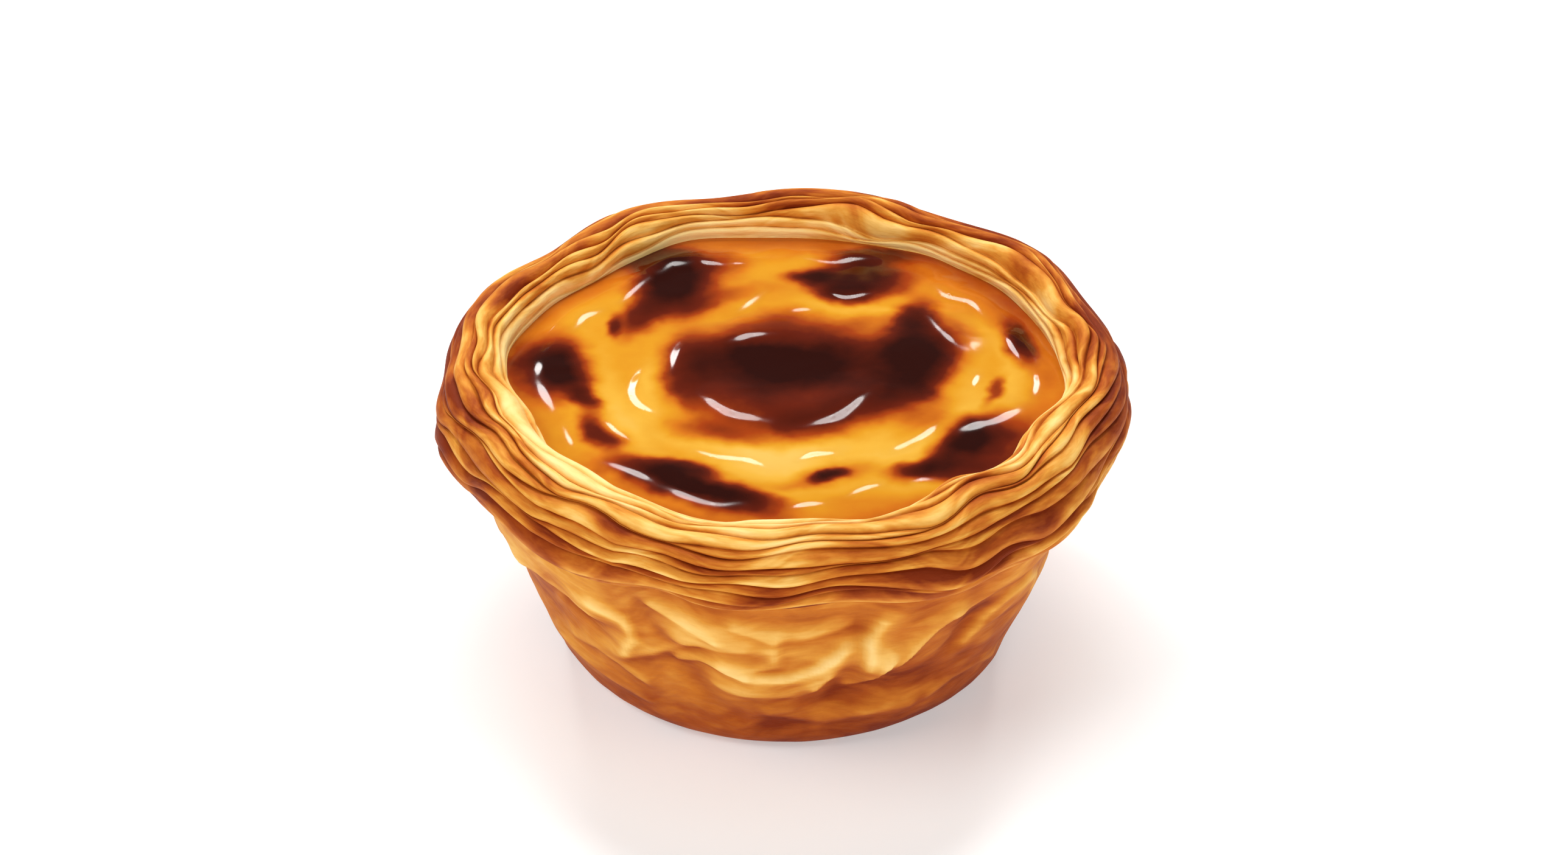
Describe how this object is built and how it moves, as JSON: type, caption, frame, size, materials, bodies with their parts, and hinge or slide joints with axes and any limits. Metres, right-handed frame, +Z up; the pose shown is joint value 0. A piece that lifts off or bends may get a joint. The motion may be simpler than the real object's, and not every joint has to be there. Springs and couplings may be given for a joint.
{
  "type": "pastel de nata",
  "caption": "Small baked custard tart: a deep, flaring puff pastry case with a rolled, leafy lip, filled with glossy custard that has blistered and caramelised on top.",
  "frame": {"origin": "centre of the flat foot that the tart stands on", "axes": "+Z up through the middle of the custard, -Y towards the side shown at the front of the picture, +X to its right"},
  "size_m": [0.0759, 0.0754, 0.0364],
  "materials": {
    "pastry": "baked puff pastry, satin, golden brown with pale leaves on the inside of the lip",
    "custard": "glossy baked egg custard, golden, with dark caramelised blisters"
  },
  "bodies": {
    "root": {"pastry_case": "pastry", "custard": "custard"}
  },
  "joints": []
}
